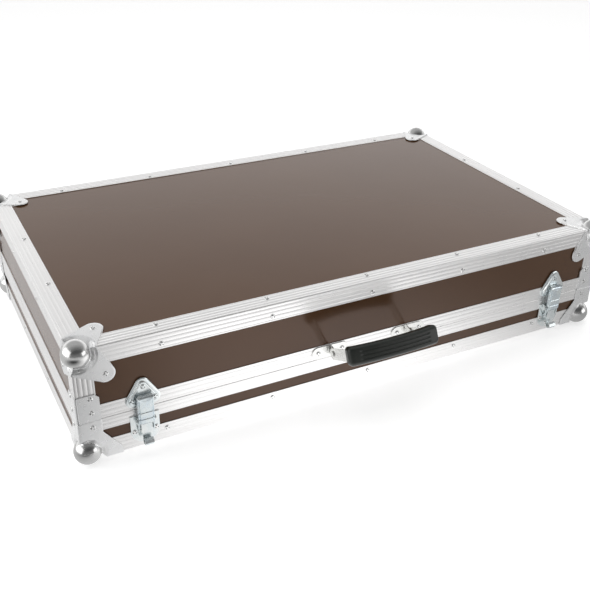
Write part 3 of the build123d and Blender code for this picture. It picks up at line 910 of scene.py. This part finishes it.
def claw_flange(sign):
    """One side flange, rounded at the pivot, with softened edges."""
    pivot, radius, neck = (5.4, 34.0), 3.2, 8.5
    middle = (8.6, 60.0)
    outline = [(neck, 92.0), (11.2, 92.0), (11.2, CLAW_FOOT)]
    for k in range(13):
        a = math.radians(-40 - 15 * k)
        outline.append((pivot[0] + radius * math.cos(a), pivot[1] + radius * math.sin(a)))
    outline.append((neck, 44.0))
    rings = []
    for across, shrink in ((11.1, 0.25), (11.35, 0.0), (12.2, 0.0), (12.45, 0.25)):
        ring = []
        for out, height in outline:
            dx, dy = out - middle[0], height - middle[1]
            f = 1 - shrink / math.hypot(dx, dy)
            ring.append((sign * across, middle[0] + dx * f, middle[1] + dy * f))
        rings.append(ring)
    return loft(rings)


def claws():
    plate = claw_plate()
    for side, x in (("left", -LATCH_X), ("right", LATCH_X)):
        build = Build()
        place = lambda p, x=x: Vector((x + p[0], -y_out - p[1], z_low + p[2]))
        build.add(*plate, place)
        for sign in (-1, 1):
            build.add(*claw_flange(sign), place)
        obj = build.make(f"claw_{side}", [claw_steel], f"latch_claw_{side}", 32)
        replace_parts(obj, f"latch_claw_{side}")


# Panels, their corners cut away round the balls

EVERY_CORNER = ((-1, -1), (1, -1), (1, 1), (-1, 1))


def panel_outline(width, height, notched):
    """Rectangle about the middle, with an arc cut out of each notched corner; corners as (sign x, sign y)."""
    steps = 12
    shift = INNER - BALL_IN
    start = math.asin(-shift / NOTCH_R)
    points = []
    for sx, sy in EVERY_CORNER:
        if (sx, sy) not in notched:
            points.append((sx * width / 2, sy * height / 2))
            continue
        arc = []
        for k in range(steps + 1):
            a = start + (math.pi / 2 - 2 * start) * k / steps
            p, q = NOTCH_R * math.cos(a) - shift, NOTCH_R * math.sin(a) - shift
            arc.append((sx * (width / 2 - p), sy * (height / 2 - q)))
        points += arc if sx * sy < 0 else arc[::-1]
    return points


def panel(name, node, place, width, height, notched, body):
    """Sheet under the extrusions' walls, about the middle of a place."""
    build = Build()
    outline = panel_outline(width, height, notched)
    build.add(*loft([[(x, y, depth) for x, y in outline] for depth in (-WALL - PANEL_T, -WALL)]), place)
    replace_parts(build.make(name, [film], body, 30), node)


def panels():
    for body, node, top in (("base", "base_bottom_panel", False), ("lid", "lid_top_panel", True)):
        low, high = node_box(node)
        panel(f"{body}_sheet", node, on_flat(0, 0, top), high.x - low.x, high.y - low.y, EVERY_CORNER, body)
        outer = 1 if top else -1
        for side in SIDES:
            wall = f"{body}_wall_{side}"
            low, high = node_box(wall)
            width = 2 * half_run(side) - 2 * INNER
            place = on_side(side, 0, (low.z + high.z) / 2)
            panel(f"{body}_board_{side}", wall, place, width, high.z - low.z, ((-1, outer), (1, outer)), body)


# Carrying grip, moulded round the strap


def grip_section(thick, tall, corner):
    """Outline across the grip: x away from the pivots, z across, with a finely divided outer face."""
    outline = []
    for cx, cz, first in ROUND_CORNERS:
        for k in range(7):
            a = math.radians(first + 15 * k)
            x, z = cx * (thick - corner) + corner * math.cos(a), cz * (tall - corner) + corner * math.sin(a)
            outline.append((x, z))
        if (cx, cz) == (1, -1):
            z = -tall + corner + 0.35
            while z < tall - corner:
                outline.append((thick, z))
                z += 0.4
    return outline


def grip():
    """Bowed grip with rounded ends and three grooves along its outer face, a little slimmer in its middle."""
    tilt = math.radians(27.0)
    pivot_out, reach, bow, strap_half, half = 12.5, 60.0, 7.7, 78.7, 82.5
    thick, tall, corner, end_r, crown = 11.0, 16.0, 6.5, 7.0, 0.5
    groove_pitch, groove_half, groove_deep, groove_from_end = 6.6, 1.7, 1.3, 19.5
    stations = 81
    radius = (strap_half ** 2 + bow ** 2) / (2 * bow)
    middle = reach + bow - radius
    section = grip_section(thick, tall, corner)
    rings = []
    for k in range(stations):
        t = 2.0 * k / (stations - 1) - 1.0
        along = half * math.sin(math.pi / 2 * t)
        left = half - abs(along)
        inset = end_r - math.sqrt(max(0.0, end_r ** 2 - (end_r - min(end_r, left)) ** 2))
        fade = min(1.0, max(0.0, (left - groove_from_end) / 3.0))
        angle = along / radius
        slim, droop = 0.94 + 0.06 * t * t, 2.2 * (1 - t * t) - 1.0
        ring = []
        for x, z in section:
            raised = crown * (1 - (z / tall) ** 2) if x > 0 else 0.0
            groove = 0.0
            if x == thick:
                near = min(abs(z - row * groove_pitch) for row in (-1, 0, 1))
                groove = groove_deep * fade * max(0.0, 1 - (near / groove_half) ** 4)
            out = radius + (x + raised - crown) * (thick - inset) / thick - groove
            z = z * (tall - inset) / tall * slim + droop
            ring.append((out * math.sin(angle), middle + out * math.cos(angle), z))
        rings.append(ring)
    origin = Vector((0, -y_out - pivot_out, z_low + HANDLE_H))
    outward = Vector((0, -math.cos(tilt), math.sin(tilt)))
    across = Vector((0, -math.sin(tilt), -math.cos(tilt)))
    build = Build()
    build.add(*loft(rings), lambda p: origin + Vector((p[0], 0, 0)) + outward * p[1] + across * p[2])
    obj = build.make("moulded_grip", [grip_black], "handle", 42)
    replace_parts(obj, "handle_grip")


# Foam lining: a bed and four pads in each half, cut soft at their edges


def pad_layers(small, thick):
    """Rings of a pad as (inset, level) from its back: eased edges, a shoulder and a crowned face."""
    soft, shoulder, crown = min(5.0, small * 0.4), thick - 0.8, 0.75
    layers = [(0.9, 0.0), (0.2, 0.6), (0.0, 1.6), (0.05, thick * 0.5), (0.3, thick - 3.0)]
    layers += [(0.9, thick - 1.9), (2.0, thick - 1.2), (soft, shoulder)]
    for f in (0.1, 0.25, 0.5, 0.75, 1.0):
        layers.append((soft + (small * 0.9 - soft) * f, shoulder + crown * (1 - (1 - f) ** 2)))
    return layers


def pad_ring(half_w, half_h, radius, drawn_in):
    """Rectangle with rounded corners, its sides drawn in toward their middles."""
    ring = []
    for sx, sy, first in ROUND_CORNERS:
        for k in range(4):
            a = math.radians(first + 30 * k)
            x, y = sx * (half_w - radius), sy * (half_h - radius)
            ring.append((x + radius * math.cos(a), y + radius * math.sin(a)))
        upright = sx * sy < 0
        span = (half_h if upright else half_w) - radius
        for k in range(1, 12):
            s = -1 + k / 6
            pull = drawn_in * (1 - s * s)
            if upright:
                ring.append((sx * (half_w - pull), sx * s * span))
            else:
                ring.append((-sy * s * span, sy * (half_h - pull)))
    return ring


def foam_pad(name, node, centre, right, up, width, height, thick, body):
    """One pad, its back flat on what it lies on, its face crowned and its sides drawn in a little."""
    normal = right.cross(up)
    rings = []
    for inset, level in pad_layers(min(width, height) / 2, thick):
        half_w, half_h = width / 2 - inset, height / 2 - inset
        radius = min(max(0.6, 3.0 - inset), half_w, half_h)
        drawn_in = 0.5 * min(1.0, level / thick * 3)
        rings.append([(x, y, level) for x, y in pad_ring(half_w, half_h, radius, drawn_in)])
    build = Build()
    build.add(*loft(rings), lambda p: centre + right * p[0] + up * p[1] + normal * p[2])
    obj = build.make(name, [foam_grey], body, 60)
    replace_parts(obj, node)


def foam():
    wall_t, bed_t = 10.0, 15.0
    for body, node, up in (("base", "base_foam_lining", 1), ("lid", "lid_foam_lining", -1)):
        low, high = node_box(node)
        run_x, run_y, tall = high - low
        short_x, short_y = run_x - 2 * wall_t, run_y - 2 * wall_t
        sheet = UP * (low.z if up > 0 else high.z)
        along = SIDES["back"] * up
        foam_pad(f"{body}_foam_bed", node, sheet, SIDES["right"], along, short_x, short_y, bed_t, body)
        middle = UP * ((low.z + high.z) / 2)
        for side, normal in SIDES.items():
            reach, run = (run_y / 2, run_x) if side in ("front", "back") else (run_x / 2, short_y)
            right = UP.cross(-normal)
            foam_pad(f"{body}_foam_{side}", node, normal * reach + middle, right, UP, run, tall, wall_t, body)


# Carried-over nodes


def keep_nodes():
    """CAD nodes whose shapes are right, with better finishes and slightly rounded edges."""
    looks = {
        "latch_base_plates": (latch_steel, 0.25),
        "latch_lever_left": (latch_steel, 0.2),
        "latch_lever_right": (latch_steel, 0.2),
        "handle_strap": (bracket_steel, 0.3),
        "handle_brackets": (bracket_steel, 0.3),
        "hinge_leaves_base": (hinge_steel, 0.25),
        "hinge_leaves_lid": (hinge_steel, 0.25),
    }
    for name, (material, edge) in looks.items():
        obj = frame["nodes"][name]
        for slot in obj.material_slots:
            slot.material = material
        modifier = obj.modifiers.new("edge", "BEVEL")
        modifier.width = edge * MM
        modifier.segments = 2
        modifier.limit_method = "ANGLE"
        modifier.angle_limit = math.radians(50)


# Stage: camera, floor, world and lamps


def camera():
    """The photo's camera, as solved from the case's parallel edges in the 590-pixel-wide photo."""
    focal_px, photo_px, sensor = 863.92, 590.0, 36.0
    right = Vector((0.8909, -0.4540, 0.0165))
    down = Vector((-0.2095, -0.4427, -0.8719))
    forward = Vector((0.4031, 0.7732, -0.4895))
    data = bpy.data.cameras.new("camera")
    data.sensor_fit = "HORIZONTAL"
    data.sensor_width = sensor
    data.lens = focal_px * sensor / photo_px
    obj = bpy.data.objects.new("camera", data)
    bpy.context.scene.collection.objects.link(obj)
    turn = Matrix((right, -down, -forward)).transposed()
    obj.matrix_world = Matrix.Translation((-0.6717, -1.3174, 0.8546)) @ turn.to_4x4()
    bpy.context.scene.camera = obj


def floor_in_metal(nodes, links):
    """Painted brightness of the floor as metal mirrors it, a glow in place of light on it: high before the
    case, less to the right, low at one painted dark spot.
    """
    split = nodes.new("ShaderNodeSeparateXYZ")
    links.new(object_coords(nodes), split.inputs[0])
    seen = spread(nodes, links, split.outputs["X"], 1.0, 0.6, 0.2, 0.55)
    # a painted pool of light before the case, and a painted dark spot at the front left, seen only in
    # reflections
    bright = ((-0.08, -0.42, 0.0), 1.6, 0.75, 0.1, 0.55)
    dark = ((-0.66, -0.6, 0.0), 0.08, 1.0, 0.12, 0.42)
    for spot, near, far, from_near, from_far in (bright, dark):
        patch = nodes.new("ShaderNodeVectorMath")
        patch.operation = "DISTANCE"
        patch.inputs[1].default_value = spot
        links.new(object_coords(nodes), patch.inputs[0])
        factor = spread(nodes, links, patch.outputs["Value"], near, far, from_near, from_far)
        seen = combine(nodes, links, "MULTIPLY", seen, factor)
    return seen


def floor():
    """Large pale sheet under the case, lit up to white for the camera where no shadow falls."""
    size, glow = 40.0, 0.5
    mesh = bpy.data.meshes.new("floor")
    mesh.from_pydata([(sx * size, sy * size, 0) for sx, sy in EVERY_CORNER], [], [(0, 1, 2, 3)])
    material, nodes, links, shader = principled("pale_floor", (0.9, 0.9, 0.9), 0.0, 0.9)
    path = nodes.new("ShaderNodeLightPath")
    lit = combine(nodes, links, "MULTIPLY", path.outputs["Is Camera Ray"], glow)
    shader.inputs["Emission Color"].default_value = (1, 1, 1, 1)
    links.new(lit, shader.inputs["Emission Strength"])
    # for reflections the floor glows instead, with the painted brightness from floor_in_metal
    mirrored = nodes.new("ShaderNodeEmission")
    links.new(floor_in_metal(nodes, links), mirrored.inputs["Strength"])
    mix = nodes.new("ShaderNodeMixShader")
    links.new(path.outputs["Is Glossy Ray"], mix.inputs[0])
    links.new(shader.outputs[0], mix.inputs[1])
    links.new(mirrored.outputs[0], mix.inputs[2])
    links.new(mix.outputs[0], nodes["Material Output"].inputs["Surface"])
    mesh.materials.append(material)
    obj = bpy.data.objects.new("floor", mesh)
    bpy.context.scene.collection.objects.link(obj)


def world():
    """White backdrop for the camera; for light and reflections, bright behind, grey in front and above."""
    surroundings = bpy.data.worlds.new("studio")
    bpy.context.scene.world = surroundings
    surroundings.use_nodes = True
    nodes, links = surroundings.node_tree.nodes, surroundings.node_tree.links
    background = nodes["Background"]
    coords = nodes.new("ShaderNodeTexCoord")
    split = nodes.new("ShaderNodeSeparateXYZ")
    links.new(coords.outputs["Generated"], split.inputs[0])
    back = spread(nodes, links, split.outputs["Y"], 0.22, 1.25, -0.6, 0.3)
    zenith = spread(nodes, links, split.outputs["Z"], 1.05, 0.45, 0.28, 0.56)
    path = nodes.new("ShaderNodeLightPath")
    glow = combine(nodes, links, "MULTIPLY", back, zenith)
    shown = combine(nodes, links, "MAXIMUM", glow, path.outputs["Is Camera Ray"])
    background.inputs["Color"].default_value = (1, 1, 1, 1)
    links.new(shown, background.inputs["Strength"])


def lamp(name, at, aim, size, radiance, glossy=True):
    """Softbox at a place, aimed at a point; without glossy it gives light but shows in no reflection."""
    data = bpy.data.lights.new(name, "AREA")
    data.shape = "RECTANGLE"
    data.size, data.size_y = size
    data.energy = radiance * math.pi * size[0] * size[1]
    obj = bpy.data.objects.new(name, data)
    bpy.context.scene.collection.objects.link(obj)
    obj.location = at
    obj.rotation_mode = "QUATERNION"
    obj.rotation_quaternion = (Vector(aim) - Vector(at)).to_track_quat("-Z", "Y")
    obj.visible_glossy = glossy


def lamps():
    lamp("left_box", (-2.0, -0.15, 0.8), (-0.2, 0, 0.1), (2.2, 1.35), 1.5)
    lamp("right_box", (1.7, -1.7, 0.6), (0.2, 0, 0.1), (1.5, 1.0), 1.75)
    lamp("overhead", (0, 0.1, 2.4), (0, 0, 0), (2.4, 2.0), 1.3, False)


extrusions()
ball_corners("base", z_low, False, True)
ball_corners("lid", z_high, True, False)
panels()
braces()
rivet_sets()
fitting_rivets()
keepers()
claws()
grip()
foam()
keep_nodes()
camera()
floor()
world()
lamps()
bpy.context.scene.view_settings.view_transform = "Standard"
